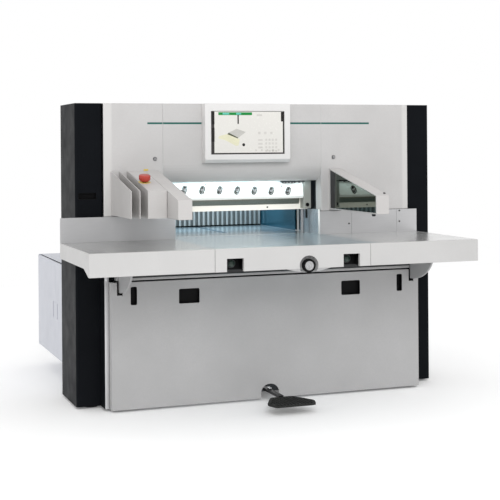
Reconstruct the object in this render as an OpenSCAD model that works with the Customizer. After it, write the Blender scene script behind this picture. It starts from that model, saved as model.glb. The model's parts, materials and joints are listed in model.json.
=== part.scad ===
// Guillotine paper cutter with a long front table, a hydraulic clamp and a swing-cut knife.
// Millimetres, +Z up, and the operator stands on the -Y side.
// The pieces are drawn with X = 0 midway between the columns, Y = 0 on the columns' front faces
// and Z = 0 on the floor. place() then moves them so that the origin is the middle of the footprint.

/* [Overall] */
// Width over the two dark columns
machine_w = 2142; // [2130:1:2160]
// Height of the columns
machine_h = 1650; // [1645:1:1670]
// Width of one column
column_w = 150; // [145:1:152]
// Depth of one column
column_d = 395; // [390:1:400]

/* [Front table] */
// Working height of the table
table_h = 900; // [895:1:905]
// Reach of the table in front of the columns
table_front = 722; // [715:1:740]
// Reach of the table to the left of the machine's middle
table_left = 1160; // [1150:1:1170]
// Reach of the table to the right of the machine's middle
table_right = 976; // [970:1:985]
// Height of the fascia along the front edge
fascia_h = 116; // [112:1:120]
// Height of the guard plates that stand on the table
guard_h = 134; // [125:1:135]

/* [Cutting head] */
// Middle of the cutting line, left of the machine's middle
cut_x = -100; // [-102:1:-98]
// Height of the opening under the raised clamp
opening_h = 140; // [136:1:142]
// Height of the raised knife's edge above the table
knife_rise = 172; // [170:1:174]
// Lean of the knife's diagonal stroke from the vertical
knife_lean = 22; // [20:1:22]
// Number of bolts that hold the knife in its bar
knife_bolt_count = 7; // [5:1:7]

/* [Back gauge] */
// Distance from the column fronts to the back gauge's ribs at rest
gauge_y = 900; // [890:1:905]
// Number of ribs on the back gauge
rib_count = 28; // [22:2:28]
// Distance from rib to rib
rib_pitch = 31.5; // [30:0.5:31.5]

/* [Lower front] */
// How far the lower front cover stands in front of the columns
cover_front = 155; // [150:1:158]
// Height of the lower front cover's top edge
cover_top = 690; // [685:1:695]
// Width of the pedal arch
arch_w = 108; // [100:1:112]

/* [Hidden] */
$fn = 48;
panel_y = -20;
half_w = machine_w / 2;
inner_x = half_w - column_w - 1;
sheet = 3;
gap = 0.5;
floor_gap = 12;
frame_x = [cut_x - 562, cut_x + 562];
frame_t = 60;
clamp_z = table_h + opening_h;
knife_z = table_h + knife_rise;
knife_y = [128, 140];
bar_y = [85, 128];
clamp_y = [141, 205];
clamp_rod_x = [-616, 322];
clamp_rod_y = 173;
clamp_rod_r = 13;
cylinder_x = (clamp_rod_x[0] + clamp_rod_x[1]) / 2;
plate_t = 30;
side_under = table_h - 82;
table_back = -22;
table_seams = [-523, 333];
head_x = [-585, 362];
lip_z = 1210;
panel_bottom = table_h + guard_h + 1.5;
arm_top = 1281;
arm_fall = 0.22;
arm_bottom = table_h + guard_h + 10;
light_arm_reach = 640;
rack_reach = 450;
bed_y = [-20, 330];
rear_end = 1290;
slot_half = 13;
rear_wall_half = 440;
rear_wall_t = 4;
gauge_post_y = [gauge_y + 150, gauge_y + 180];
spindle_z = table_h - 100;
notch_x = [[-461, -370], [178, 272]];
notch_z = table_h - 50;
wheel_c = [-16, table_h - 102];
arch_c = -15;
arch_top = 90;
cabinet_y = [425, 1485];
cabinet_z = [125, 715];
cabinet_x = [-1005, -620];
door_seam = 901;
hinge_r = 9.5;
pin_r = 5;
flywheel_c = [205, 430];
flywheel_r = 160;
motor_c = [200, 700];
pulley_r = 45;
belt_x = [765, 805];
wheel_proud = 6;
x_min = -max(half_w, table_left);
x_max = max(half_w, table_right);
y_min = -table_front - wheel_proud;
y_max = cabinet_y[1];
guide_x = [-400, 210];
guide_z = 1250;

// Moves a piece from the drawing frame to the part's own frame
module place() {
    translate([-(x_min + x_max) / 2, -(y_min + y_max) / 2, 0]) children();
}

// A block given by its three spans
module block(x, y, z) {
    translate([x[0], y[0], z[0]]) cube([x[1] - x[0], y[1] - y[0], z[1] - z[0]]);
}

// A YZ outline extruded over a span of X
module along_x(x) {
    translate([x[0], 0, 0]) rotate([90, 0, 90]) linear_extrude(x[1] - x[0]) children();
}

// An XZ outline extruded over a span of Y
module along_y(y) {
    translate([0, y[1], 0]) rotate([90, 0, 0]) linear_extrude(y[1] - y[0]) children();
}

// A round bar along X, Y or Z: c is its centre in the other two axes
module bar_x(x, c, r) {
    translate([x[0], c[0], c[1]]) rotate([0, 90, 0]) cylinder(r = r, h = x[1] - x[0]);
}
module bar_y(c, y, r) {
    translate([c[0], y[1], c[1]]) rotate([90, 0, 0]) cylinder(r = r, h = y[1] - y[0]);
}
module bar_z(c, z, r) {
    translate([c[0], c[1], z[0]]) cylinder(r = r, h = z[1] - z[0]);
}

// A rectangle with round corners, from one corner to the other
module round_rect(a, b, r) {
    translate([a[0] + r, a[1]]) square([b[0] - a[0] - 2 * r, b[1] - a[1]]);
    translate([a[0], a[1] + r]) square([b[0] - a[0], b[1] - a[1] - 2 * r]);
    for (u = [a[0] + r, b[0] - r], v = [a[1] + r, b[1] - r]) translate([u, v]) circle(r);
}

// The sloping top line of the rack, the emergency-stop box and the arms, at a distance from the panels
function slope_z(reach) = arm_top - arm_fall * (reach + panel_y);

// The side outline of whatever reaches forward from the panels: a sloping top and a level bottom
module reach_outline(reach) {
    polygon([[panel_y, arm_bottom], [panel_y, arm_top], [-reach, slope_z(reach)], [-reach, arm_bottom]]);
}

// ---- base and frames ----

module base_plinths() {
    plinth_x = [-1040, 1040];
    plinth_top = 72;
    pivot = [-8, 58];
    color("#2b2e31") place() {
        block(plinth_x, [20, 120], [floor_gap, plinth_top]);
        block(plinth_x, [270, 370], [floor_gap, plinth_top]);
        // cheeks that carry the pedal's pivot
        for (x = [-62, -8]) difference() {
            block([x, x + 12], [-24, 20], [40, 76]);
            bar_x([x - 1, x + 13], pivot, 6.05);
        }
    }
}

module levelling_feet() {
    color("#1b1c1e") place() {
        for (x = [-980, -100, 980], y = [70, 320]) {
            bar_z([x, y], [0, 5], 40);
            bar_z([x, y], [5, floor_gap], 26);
        }
        for (x = [-530, 330]) bar_z([x, 1235], [0, floor_gap], 30);
        for (x = [-830, -670], y = [520, 1230]) bar_z([x, y], [0, floor_gap], 26);
    }
}

module side_frames() {
    color("#5a6066") place() {
        block([frame_x[0] - frame_t, frame_x[0]], [20, 370], [72, 1600]);
        block([frame_x[1], frame_x[1] + frame_t], [20, 370], [72, 1600]);
    }
}

module top_crossbeam() {
    rail_len = 360;
    color("#5a6066") place() {
        block(frame_x, [150, 330], [1400, 1590]);
        // slanted rails that the knife bar's lugs run on
        for (x = guide_x) translate([x, 0, guide_z])
            rotate([0, knife_lean, 0]) block([-20, 20], [129, 155], [0, rail_len]);
    }
}

// ---- tables ----

module table_bed() {
    color("#b9bcbe") place() difference() {
        block(frame_x, bed_y, [780, table_h]);
        // groove of the cutting stick
        block([frame_x[0] - 1, frame_x[1] + 1], [124, 144], [table_h - 15, table_h + 1]);
        // clearance holes of the clamp's pull rods
        for (x = clamp_rod_x) bar_z([x, clamp_rod_y], [779, table_h + 1], clamp_rod_r + 1);
    }
}

module cutting_stick() {
    color("#b4b6b4") place()
        block([cut_x - 480, cut_x + 480], [124, 144], [table_h - 15, table_h]);
}

module front_tables() {
    color("#c9cccd") place() {
        edges = [-table_left + 8, table_seams[0], table_seams[1], table_right - 8];
        for (i = [0:2])
            block([edges[i], edges[i + 1]], [-table_front + 20, i == 1 ? bed_y[0] : table_back],
                [table_h - plate_t, table_h]);
    }
}

// The end plate's outline: level underneath, then a slope down to the deeper fascia
module end_outline() {
    y0 = -table_front + 20;
    polygon([[table_back, side_under], [table_back, table_h], [y0, table_h], [y0, table_h - fascia_h],
        [y0 + 102, side_under]]);
}

module side_fascias() {
    z = [table_h - fascia_h, table_h];
    y = [-table_front, -table_front + 20];
    color("#e6e6e4") place() {
        block([-table_left, table_seams[0]], y, z);
        block([table_seams[1], table_right], y, z);
        along_x([-table_left, -table_left + 8]) end_outline();
        along_x([table_right - 8, table_right]) end_outline();
    }
}

module centre_fascia() {
    y = [-table_front, -table_front + 20];
    color("#e6e6e4") place() difference() {
        block(table_seams, y, [table_h - fascia_h, table_h]);
        for (n = notch_x) block(n, [y[0] - 1, y[1] + 1], [table_h - fascia_h - 1, notch_z]);
        bar_y(wheel_c, [y[0] - 1, y[1] + 1], 52);
    }
}

module rear_table() {
    color("#b9bcbe") place() {
        block([-560, cut_x - slot_half], [bed_y[1], rear_end], [table_h - 32, table_h]);
        block([cut_x + slot_half, 360], [bed_y[1], rear_end], [table_h - 32, table_h]);
        // upright side walls that keep the pile on the table
        for (x = [cut_x - rear_wall_half - rear_wall_t, cut_x + rear_wall_half])
            block([x, x + rear_wall_t], [bed_y[1], rear_end], [table_h, clamp_z]);
    }
}

module rear_table_frame() {
    color("#5a6066") place() for (x = [-560, 300]) {
        block([x, x + 60], [bed_y[1], rear_end], [760, table_h - 32]);
        block([x, x + 60], [1200, 1270], [floor_gap, 760]);
    }
}

module guards() {
    y = [-26, -23];
    z = [table_h, table_h + guard_h];
    color("#a9abad") place() {
        block([-table_left, -518], y, z);
        block([350, 549.5], y, z);
        block([550.5, 842.5], y, z);
        block([843.5, table_right], y, z);
    }
}

module side_gauge() {
    color("#b4babd") place()
        along_x([350, 353]) polygon([[-22.9, table_h], [-22.9, 1046], [317, 1034], [317, table_h]]);
}

// ---- casings ----

module column_covers() {
    color("#17181c") place() for (side = [-1, 1]) {
        x = side < 0 ? [-half_w, -half_w + column_w] : [half_w - column_w, half_w];
        difference() {
            translate([0, 0, floor_gap]) linear_extrude(machine_h - floor_gap)
                round_rect([x[0], 0], [x[1], column_d], 12);
            translate([0, 0, floor_gap - 1]) linear_extrude(machine_h - floor_gap - sheet + 1)
                round_rect([x[0] + sheet, sheet], [x[1] - sheet, column_d - sheet], 9);
            if (side < 0) block([-1055, -956], [-1, sheet + 1], [1129, 1165]);
            // room for the plinths' ends
            for (y = [20, 270])
                block([-1040 - gap, 1040 + gap], [y - gap, y + 100 + gap], [floor_gap - 1, 72 + gap]);
        }
    }
}

module side_upper_panels() {
    return_y = 60;
    color("#cdcbca") place() {
        z = [panel_bottom, machine_h];
        return_z = [panel_bottom, machine_h - sheet];
        block([-inner_x, head_x[0] - gap], [panel_y, panel_y + sheet], z);
        block([head_x[0] - gap - sheet, head_x[0] - gap], [panel_y + sheet, return_y], return_z);
        block([head_x[1] + gap, inner_x], [panel_y, panel_y + sheet], z);
        block([head_x[1] + gap, head_x[1] + gap + sheet], [panel_y + sheet, return_y], return_z);
    }
}

module centre_upper_panel() {
    drop = 100;
    sweep = 78;
    steps = 10;
    curve = [for (i = [0:steps]) let (a = 90 * i / steps)
        [panel_y + sweep * (1 - cos(a)), lip_z + drop * (1 - sin(a))]];
    inner = [for (i = [steps:-1:0]) let (a = 90 * i / steps)
        [panel_y + sheet + (sweep - sheet) * (1 - cos(a)), lip_z + sheet + drop * (1 - sin(a))]];
    color("#cdcbca") place() along_x(head_x)
        polygon(concat([[panel_y, machine_h]], curve, inner, [[panel_y + sheet, machine_h]]));
}

module top_and_rear_covers() {
    y = [386, 389];
    color("#bfc0c2") place() {
        block([-inner_x, inner_x], [panel_y + sheet, y[1]], [machine_h - sheet, machine_h]);
        block([-inner_x, inner_x], y, [1060, machine_h - sheet]);
        block([-inner_x, -580], y, [60, 1060]);
        block([380, inner_x], y, [60, 1060]);
    }
}

display_c = cut_x - 6;
display_z = [1320, machine_h];
display_y = [-80, panel_y];
screen_half = 218;
screen_z = [1367, 1607];

module display_housing() {
    half = 254;
    chin = 18;
    color("#d2d0cf") place() difference() {
        along_x([display_c - half, display_c + half])
            polygon([[display_y[1], display_z[0]], [display_y[0] + chin, display_z[0]],
                [display_y[0], display_z[0] + chin], [display_y[0], display_z[1]],
                [display_y[1], display_z[1]]]);
        block([display_c - screen_half, display_c + screen_half], [display_y[0] - 1, display_y[0] + 6], screen_z);
    }
}

module display_screen() {
    color("#20242a") place()
        block([display_c - screen_half + gap, display_c + screen_half - gap], [display_y[0] + 1, display_y[0] + 6],
            [screen_z[0] + gap, screen_z[1] - gap]);
}

arm_x = [[-688, -613], [410, 485]];
pane_rebate = 6;

// The pane's outline, inside the arm's rim
module pane_outline(rim) {
    back = panel_y - 20;
    front = -light_arm_reach + 14;
    polygon([[back, arm_bottom + rim], [back, slope_z(-back) - rim], [front, slope_z(-front) - rim],
        [front, arm_bottom + rim]]);
}

module light_arms() {
    color("#dcdad8") place() for (i = [0, 1]) difference() {
        along_x(arm_x[i]) reach_outline(light_arm_reach);
        x = i == 0 ? [arm_x[0][1] - pane_rebate, arm_x[0][1] + 1] : [arm_x[1][0] - 1, arm_x[1][0] + pane_rebate];
        along_x(x) pane_outline(7);
    }
}

module arm_panes() {
    color("#0f1212") place() for (i = [0, 1]) {
        x = i == 0 ? [arm_x[0][1] - pane_rebate, arm_x[0][1] - 1] : [arm_x[1][0] + 1, arm_x[1][0] + pane_rebate];
        along_x(x) pane_outline(7 + gap);
    }
}

module rack_fins() {
    color("#d6d5d4") place()
        for (x = [-880, -834]) along_x([x, x + 4]) reach_outline(rack_reach);
}

estop_x = -760;
estop_reach = 270;
estop_rise = 7;

// Drawn upright at the origin, the emergency-stop pieces stand square on the box's sloping top
module on_slope() {
    translate([estop_x, -estop_reach, slope_z(estop_reach)]) rotate([atan(arm_fall), 0, 0]) children();
}

module estop_box() {
    color("#d6d5d4") place() difference() {
        along_x([-790, -690]) reach_outline(rack_reach);
        on_slope() translate([0, 0, -40]) cylinder(r = 11.05, h = 60);
    }
}

module estop_stem() {
    color("#3a3b3d") place() on_slope() translate([0, 0, -34]) cylinder(r = 11, h = 34 + estop_rise);
}

module estop_head() {
    rim = 31;
    color("#c43a30") place() on_slope() translate([0, 0, estop_rise]) {
        cylinder(r1 = rim - 7, r2 = rim, h = 7);
        translate([0, 0, 7]) cylinder(r = rim, h = 20);
        translate([0, 0, 27]) cylinder(r1 = rim, r2 = rim - 8, h = 6);
    }
}

// ---- lower front ----

cup_spans = [[[-809, -774], [567, 665]], [[-540, -423], [561, 642]],
    [[423, 540], [561, 642]], [[774, 809], [567, 665]]];

module lower_front_cover() {
    half = 914;
    slot = [853, 883];
    color("#b6b6b6") place() difference() {
        block([-half, half], [-cover_front, -102], [floor_gap, cover_top]);
        block([-half + 2, half - 2], [-cover_front + 2, -101], [floor_gap - 1, cover_top - 2]);
        for (c = cup_spans) along_y([-cover_front - 1, -cover_front + 3]) round_rect([c[0][0], c[1][0]], [c[0][1], c[1][1]], 8);
        for (s = [-1, 1]) block(s < 0 ? [-slot[1], -slot[0]] : slot, [-cover_front - 1, -101], [622, cover_top + 1]);
        along_y([-cover_front - 1, -cover_front + 3])
            round_rect([arch_c - arch_w / 2, floor_gap - 40], [arch_c + arch_w / 2, arch_top], arch_w / 2 - 3);
    }
}

module grip_cups() {
    depth = 22;
    wall = 2;
    color("#0b0b0c") place() {
        for (c = cup_spans) difference() {
            along_y([-cover_front + gap, -cover_front + depth])
                round_rect([c[0][0] + gap, c[1][0] + gap], [c[0][1] - gap, c[1][1] - gap], 7);
            along_y([-cover_front - 1, -cover_front + depth - wall])
                round_rect([c[0][0] + wall, c[1][0] + wall], [c[0][1] - wall, c[1][1] - wall], 5);
        }
        difference() {
            block([-1054.5, -956.5], [gap, depth], [1129.5, 1164.5]);
            block([-1053, -958], [-1, depth - wall], [1131, 1163]);
        }
    }
}

module cover_posts() {
    color("#1c1d21") place() for (side = [-1, 1])
        block(side < 0 ? [-939, -885] : [885, 939], [-100, -2], [floor_gap, side_under]);
}

module table_supports() {
    reach = 430;
    root = 637;
    steps = 12;
    rise = side_under - root;
    run = reach - 150;
    lower = [for (i = [0:steps]) let (a = 90 * i / steps) [-150 - run * sin(a), side_under - rise * cos(a)]];
    color("#b9babc") place() {
        block([-884, 884], [-150, -30], [cover_top + 10, side_under]);
        for (x = [-873, 863]) along_x([x, x + 10]) polygon(concat([[-150, side_under]], lower));
    }
}

module cut_button_housings() {
    y = [-table_front + 20, -table_front + 100];
    color("#141517") place() for (n = notch_x) difference() {
        block([n[0] - 8, n[1] + 8], y, [table_h - fascia_h + 4, table_h - plate_t]);
        block(n, [y[0] - 1, y[1] - 30], [table_h - fascia_h + 3, notch_z]);
        bar_y([(n[0] + n[1]) / 2, table_h - 80], [y[0], y[1] - 5], 18.05);
    }
}

// A push button that points at the operator, deep inside its recess
module cut_button(n) {
    bar_y([(n[0] + n[1]) / 2, table_h - 80], [-table_front + 62, -table_front + 88], 18);
}

module left_cut_button() {
    color("#2f8f5a") place() cut_button(notch_x[0]);
}

module right_cut_button() {
    color("#2f8f5a") place() cut_button(notch_x[1]);
}

module handwheel_housing() {
    y = [-table_front + 4, -table_front + 60];
    sag = 18;
    half = 125;
    steps = 12;
    under = table_h - fascia_h;
    belly = [for (i = [0:steps]) let (t = 2 * i / steps - 1)
        [wheel_c[0] + half * t, under - sag * (1 - t * t)]];
    color("#c9cacb") place() difference() {
        union() {
            // the shallow belly below the fascia
            along_y([y[0], -table_front + 21]) polygon(belly);
            block([wheel_c[0] - 70, wheel_c[0] + 70], [-table_front + 20, y[1]],
                [under - 10, table_h - plate_t]);
        }
        bar_y(wheel_c, [y[0] - 1, y[1] - 14], 52);
        bar_y(wheel_c, [y[1] - 20, y[1] + 1], 8.05);
    }
}

module handwheel() {
    front = -table_front - wheel_proud;
    color("#1a1b1d") place() {
        difference() {
            bar_y(wheel_c, [front, front + 22], 34);
            bar_y(wheel_c, [front - 1, front + 6], 25);
        }
        bar_y(wheel_c, [front + 22, -table_front + 60], 8);
    }
}

// ---- pedal ----

pedal_pivot = [-8, 58];
pedal_back = -355;

module pedal_arm() {
    x = [-50 + gap, -8 - gap];
    arm_x0 = -43;
    color("#26282b") place() {
        block([arm_x0, arm_x0 + 28], [pedal_back, pedal_pivot[0] - 12], [50, 64]);
        bar_x(x, pedal_pivot, 14);
        bar_x([-66, 8], pedal_pivot, 6);
        // two bolts that clamp the arm where it leaves the arch
        for (y = [-168, -190]) bar_z([arm_x0 + 14, y], [64, 71], 8);
    }
}

module pedal_plate() {
    front = -570;
    mid = -495;
    c = -28;
    color("#1a1b1d") place() {
        translate([0, 0, 46]) linear_extrude(12)
            polygon([[c - 112, front], [c + 112, front], [c + 135, mid], [c + 65, pedal_back], [c - 65, pedal_back],
                [c - 135, mid]]);
        // anti-slip ribs
        for (i = [0:9]) block([c - 60, c + 60], [pedal_back - 38 - i * 18, pedal_back - 30 - i * 18], [58, 61]);
    }
}

// ---- knife and clamp ----

bar_x_span = [-522, 295];
bolt_pitch = 105;
bolt_fall = 3;

function bolt_x(i) = cut_x - 14 + (i - (knife_bolt_count - 1) / 2) * bolt_pitch;
function bolt_z(i) = knife_z + 96 - bolt_fall * i;

module knife_bar() {
    z0 = knife_z + 35;
    top = 1385;
    back = bar_y[0] + 16;
    color("#eef0ee") place() difference() {
        union() {
            along_x(bar_x_span) polygon([[bar_y[0] + 8, z0], [bar_y[0], z0 + 12], [back, z0 + 110],
                [back, top], [bar_y[1], top], [bar_y[1], z0]]);
            // slanted lugs that run on the crossbeam's rails
            for (x = guide_x) translate([x, 0, guide_z])
                rotate([0, knife_lean, 0]) block([-32, 32], [back, bar_y[1]], [120, 310]);
        }
        // slanted slots for the knife bolts
        for (i = [0:knife_bolt_count - 1])
            translate([bolt_x(i), 0, bolt_z(i)]) rotate([0, knife_lean, 0]) {
                block([-9, 9], [bar_y[0] - 1, bar_y[1] + 1], [-10, 10]);
                for (dz = [-10, 10]) bar_y([0, dz], [bar_y[0] - 1, bar_y[1] + 1], 9);
            }
    }
}

module knife() {
    x = [-514, 287];
    color("#8f9488") place() along_x(x)
        polygon([[knife_y[1], knife_z], [knife_y[1] - 1, knife_z], [knife_y[0], knife_z + 26],
            [knife_y[0], knife_z + 125], [knife_y[1], knife_z + 125]]);
}

module knife_bolts() {
    color("#4a4d50") place() for (i = [0:knife_bolt_count - 1])
        bar_y([bolt_x(i), bolt_z(i)], [bar_y[0] + 12, knife_y[0]], 7.5);
}

module clamp_beam() {
    block_y = [85, clamp_y[0]];
    block_z = [clamp_z + 7, clamp_z + 176];
    color("#d9dcda") place() {
        block([-638, 344], clamp_y, [clamp_z, clamp_z + 190]);
        block([-638, -594], block_y, block_z);
        block([297, 342], block_y, block_z);
    }
}

module clamp_pull_frame() {
    yoke_z = [260, 300];
    color("#9a9ea2") place() {
        for (x = clamp_rod_x) bar_z([x, clamp_rod_y], [yoke_z[1], clamp_z], clamp_rod_r);
        block([clamp_rod_x[0] - 24, clamp_rod_x[1] + 24], [clamp_rod_y - 22, clamp_rod_y + 22], yoke_z);
        bar_z([cylinder_x, clamp_rod_y], [yoke_z[1], 700], 15);
    }
}

module clamp_cylinder() {
    color("#3f5f86") place() difference() {
        union() {
            bar_z([cylinder_x, clamp_rod_y], [450, 780], 48);
            block([cylinder_x - 65, cylinder_x + 65], [clamp_rod_y - 65, clamp_rod_y + 65], [765, 780]);
        }
        bar_z([cylinder_x, clamp_rod_y], [449, 705], 15.05);
    }
}

// ---- back gauge ----

module back_gauge() {
    z = [table_h + 1, table_h + 125];
    half = (rib_count - 1) * rib_pitch / 2 + 12;
    color("#c2c6c8") place() {
        block([cut_x - half, cut_x + half], [gauge_y + 14, gauge_y + 60], z);
        for (i = [0:rib_count - 1]) {
            x = cut_x + (i - (rib_count - 1) / 2) * rib_pitch;
            block([x - 6, x + 6], [gauge_y, gauge_y + 14], z);
        }
        block([cut_x - 60, cut_x + 60], [gauge_y + 60, gauge_post_y[1]], [table_h + 1, table_h + 40]);
        block([cut_x - slot_half + 2, cut_x + slot_half - 2], gauge_post_y, [spindle_z + 40, table_h + 1]);
    }
}

module gauge_nut() {
    color("#a8843c") place() difference() {
        y = [gauge_post_y[0] - 5, gauge_post_y[1] + 5];
        block([cut_x - 40, cut_x + 40], y, [spindle_z - 40, spindle_z + 40]);
        bar_y([cut_x, spindle_z], [y[0] - 1, y[1] + 1], 16.05);
    }
}

module spindle() {
    color("#8e9296") place() bar_y([cut_x, spindle_z], [336, 1300 - gap], 16);
}

module spindle_bearings() {
    color("#5a6066") place() for (y = [336, 1265]) difference() {
        union() {
            block([cut_x - 45, cut_x + 45], [y, y + 25], [spindle_z - 40, table_h - 32]);
            // flange that hangs the bearing under the rear table
            block([cut_x - 90, cut_x + 90], [y, y + 25], [table_h - 44, table_h - 32]);
        }
        bar_y([cut_x, spindle_z], [y - 1, y + 26], 16.05);
    }
}

module spindle_motor() {
    color("#2c3136") place() {
        block([cut_x - 55, cut_x + 55], [1300, 1400], [spindle_z - 55, spindle_z + 55]);
        block([cut_x - 120, cut_x + 120], [rear_end, 1300], [spindle_z + 17, table_h - 32]);
    }
}

// ---- electrical cabinet ----

hinge_x = cabinet_x[0] + hinge_r;
hinge_y = [cabinet_y[0] + 10, cabinet_y[1] - 10];

module electrical_cabinet() {
    body_x = [cabinet_x[0] + 2 * hinge_r + 1.5, cabinet_x[1]];
    wall = 3;
    pin_post = [hinge_y[0] - 10, hinge_y[1] + 4];
    color("#d5d8e0") place() {
        difference() {
            block(body_x, cabinet_y, cabinet_z);
            block([body_x[0] - 1, body_x[1] - wall], [cabinet_y[0] + wall, cabinet_y[1] - wall],
                [cabinet_z[0] + wall, cabinet_z[1] - wall]);
            bar_y([body_x[1] - 120, cabinet_z[0] + 90], [cabinet_y[1] - wall - 1, cabinet_y[1] + 1], 16);
        }
        // plinth under the cabinet
        block([-860, -640], [450, 1300], [floor_gap, cabinet_z[0]]);
        // hinge pins on lugs above and below the doors
        for (i = [0, 1]) {
            for (z = [[cabinet_z[0], cabinet_z[0] + 6], [cabinet_z[1] - 6, cabinet_z[1]]])
                block([hinge_x - 6, body_x[0]], [hinge_y[i] - 6, hinge_y[i] + 6], z);
            bar_z([hinge_x, hinge_y[i]], cabinet_z, pin_r);
        }
    }
}

// A door with a round hinge edge: y runs from the hinge to the free edge, either way
module cabinet_door(hinge, free, handle) {
    z = [cabinet_z[0] + 7, cabinet_z[1] - 7];
    difference() {
        union() {
            block([cabinet_x[0], cabinet_x[0] + 2 * hinge_r], [min(hinge, free), max(hinge, free)], z);
            bar_z([hinge_x, hinge], z, hinge_r);
        }
        bar_z([hinge_x, hinge], [z[0] - 1, z[1] + 1], pin_r + 0.05);
        block([cabinet_x[0] - 1, cabinet_x[0] + 8], [handle - 9, handle + 9], [370, 465]);
    }
}

module front_cabinet_door() {
    color("#d5d8e0") place() cabinet_door(hinge_y[0], door_seam - 1, door_seam - 52);
}

module rear_cabinet_door() {
    color("#d5d8e0") place() cabinet_door(hinge_y[1], door_seam + 1, door_seam + 68);
}

module cable_gland() {
    c = [cabinet_x[1] - 120, cabinet_z[0] + 90];
    y = cabinet_y[1];
    color("#33363a") place() difference() {
        union() {
            bar_y(c, [y - 12, y], 16);
            bar_y(c, [y - 18, y - sheet], 21);
        }
        bar_y(c, [y - 30, y + 1], 9);
    }
}

// ---- drives ----

module main_motor() {
    color("#3c4a57") place() {
        bar_x([560, 740], motor_c, 90);
        bar_x([740, 752], motor_c, 55);
        block([frame_x[1] + frame_t, 740], [motor_c[0] - 80, motor_c[0] + 80], [motor_c[1] - 105, motor_c[1] - 88]);
    }
}

module motor_pulley() {
    color("#70757a") place() {
        bar_x([753, belt_x[0]], motor_c, 12);
        bar_x(belt_x, motor_c, pulley_r);
    }
}

module drive_belt() {
    play = 0.8;
    thick = 7;
    color("#202123") place() along_x([belt_x[0] + 4, belt_x[1] - 4]) difference() {
        hull() {
            translate(flywheel_c) circle(flywheel_r + play + thick, $fn = 64);
            translate(motor_c) circle(pulley_r + play + thick, $fn = 32);
        }
        hull() {
            translate(flywheel_c) circle(flywheel_r + play, $fn = 64);
            translate(motor_c) circle(pulley_r + play, $fn = 32);
        }
    }
}

module flywheel() {
    color("#4b4f53") place() difference() {
        union() {
            bar_x(belt_x, flywheel_c, flywheel_r);
            bar_x([681, belt_x[1] + 8], flywheel_c, 18);
        }
        for (a = [0:60:300])
            bar_x([belt_x[0] - 1, belt_x[1] + 1], [flywheel_c[0] + 100 * cos(a), flywheel_c[1] + 100 * sin(a)], 28);
    }
}

module gearbox() {
    color("#49606f") place() {
        block([frame_x[1] + frame_t, 640], [130, 320], [320, 540]);
        bar_x([640, 680], flywheel_c, 70);
    }
}

module hydraulic_unit() {
    color("#49606f") place() {
        block([-900, -740], [130, 260], [84, 330]);
        bar_z([-820, 195], [330, 520], 60);
        // mounting plate across the two plinths
        block([-880, -760], [60, 330], [72, 84]);
    }
}

module panel_lock(c) {
    bar_y(c, [panel_y - 6, panel_y - gap], 9);
    block([c[0] - 1.5, c[0] + 1.5], [panel_y - 8, panel_y - 6], [c[1] - 7, c[1] + 7]);
}

module left_panel_lock() {
    color("#8c8f92") place() panel_lock([-631, 1345]);
}

module right_panel_lock() {
    color("#8c8f92") place() panel_lock([441, 1345]);
}

module work_light() {
    color("#bfefff") place() {
        block([cut_x - 400, cut_x + 400], [58, 78], [lip_z + sheet + 1, lip_z + sheet + 15]);
        // end brackets up to the panel
        for (x = [cut_x - 400, cut_x + 390])
            block([x, x + 10], [48, 58], [lip_z + 2 * sheet, lip_z + sheet + 15]);
    }
}

base_plinths();
levelling_feet();
side_frames();
top_crossbeam();
table_bed();
cutting_stick();
front_tables();
side_fascias();
centre_fascia();
rear_table();
rear_table_frame();
guards();
side_gauge();
column_covers();
side_upper_panels();
centre_upper_panel();
top_and_rear_covers();
display_housing();
display_screen();
light_arms();
arm_panes();
rack_fins();
estop_box();
estop_stem();
estop_head();
lower_front_cover();
grip_cups();
cover_posts();
table_supports();
cut_button_housings();
left_cut_button();
right_cut_button();
handwheel_housing();
handwheel();
pedal_arm();
pedal_plate();
knife_bar();
knife();
knife_bolts();
clamp_beam();
clamp_pull_frame();
clamp_cylinder();
back_gauge();
gauge_nut();
spindle();
spindle_bearings();
spindle_motor();
electrical_cabinet();
front_cabinet_door();
rear_cabinet_door();
cable_gland();
main_motor();
motor_pulley();
drive_belt();
flywheel();
gearbox();
hydraulic_unit();
left_panel_lock();
right_panel_lock();
work_light();
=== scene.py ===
"""Guillotine paper cutter: finishes, small fittings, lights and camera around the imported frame."""

import json
import math

import bmesh
import bpy
from mathutils import Matrix, Vector


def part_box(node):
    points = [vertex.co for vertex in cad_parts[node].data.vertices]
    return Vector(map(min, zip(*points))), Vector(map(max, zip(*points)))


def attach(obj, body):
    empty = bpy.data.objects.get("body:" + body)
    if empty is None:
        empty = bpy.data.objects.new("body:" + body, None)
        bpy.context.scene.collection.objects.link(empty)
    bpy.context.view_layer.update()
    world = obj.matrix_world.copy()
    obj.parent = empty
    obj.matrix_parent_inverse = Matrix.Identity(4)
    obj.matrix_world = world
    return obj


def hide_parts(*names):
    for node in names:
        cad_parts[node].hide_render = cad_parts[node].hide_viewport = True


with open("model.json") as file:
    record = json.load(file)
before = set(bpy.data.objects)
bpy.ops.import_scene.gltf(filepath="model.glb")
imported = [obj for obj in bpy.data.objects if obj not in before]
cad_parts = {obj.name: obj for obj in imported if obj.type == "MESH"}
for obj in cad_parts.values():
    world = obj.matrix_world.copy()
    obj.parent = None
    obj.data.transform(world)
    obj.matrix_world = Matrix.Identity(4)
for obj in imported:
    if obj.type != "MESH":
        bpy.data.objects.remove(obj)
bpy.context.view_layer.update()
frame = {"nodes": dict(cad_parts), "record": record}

MM = 0.001
NODES = frame["nodes"]

# The frame's own landmarks: X = 0 is midway between the columns, Y = 0 is the columns' front
COLUMN_LO, COLUMN_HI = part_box("column_covers")
MID_X = (COLUMN_LO.x + COLUMN_HI.x) / 2
FRONT_Y = COLUMN_LO.y
FRONT_OF_COMB = (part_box("back_gauge")[0].y - FRONT_Y) / MM
ARM_BOTTOM, ARM_TOP = (corner.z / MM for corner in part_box("light_arms"))

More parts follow.
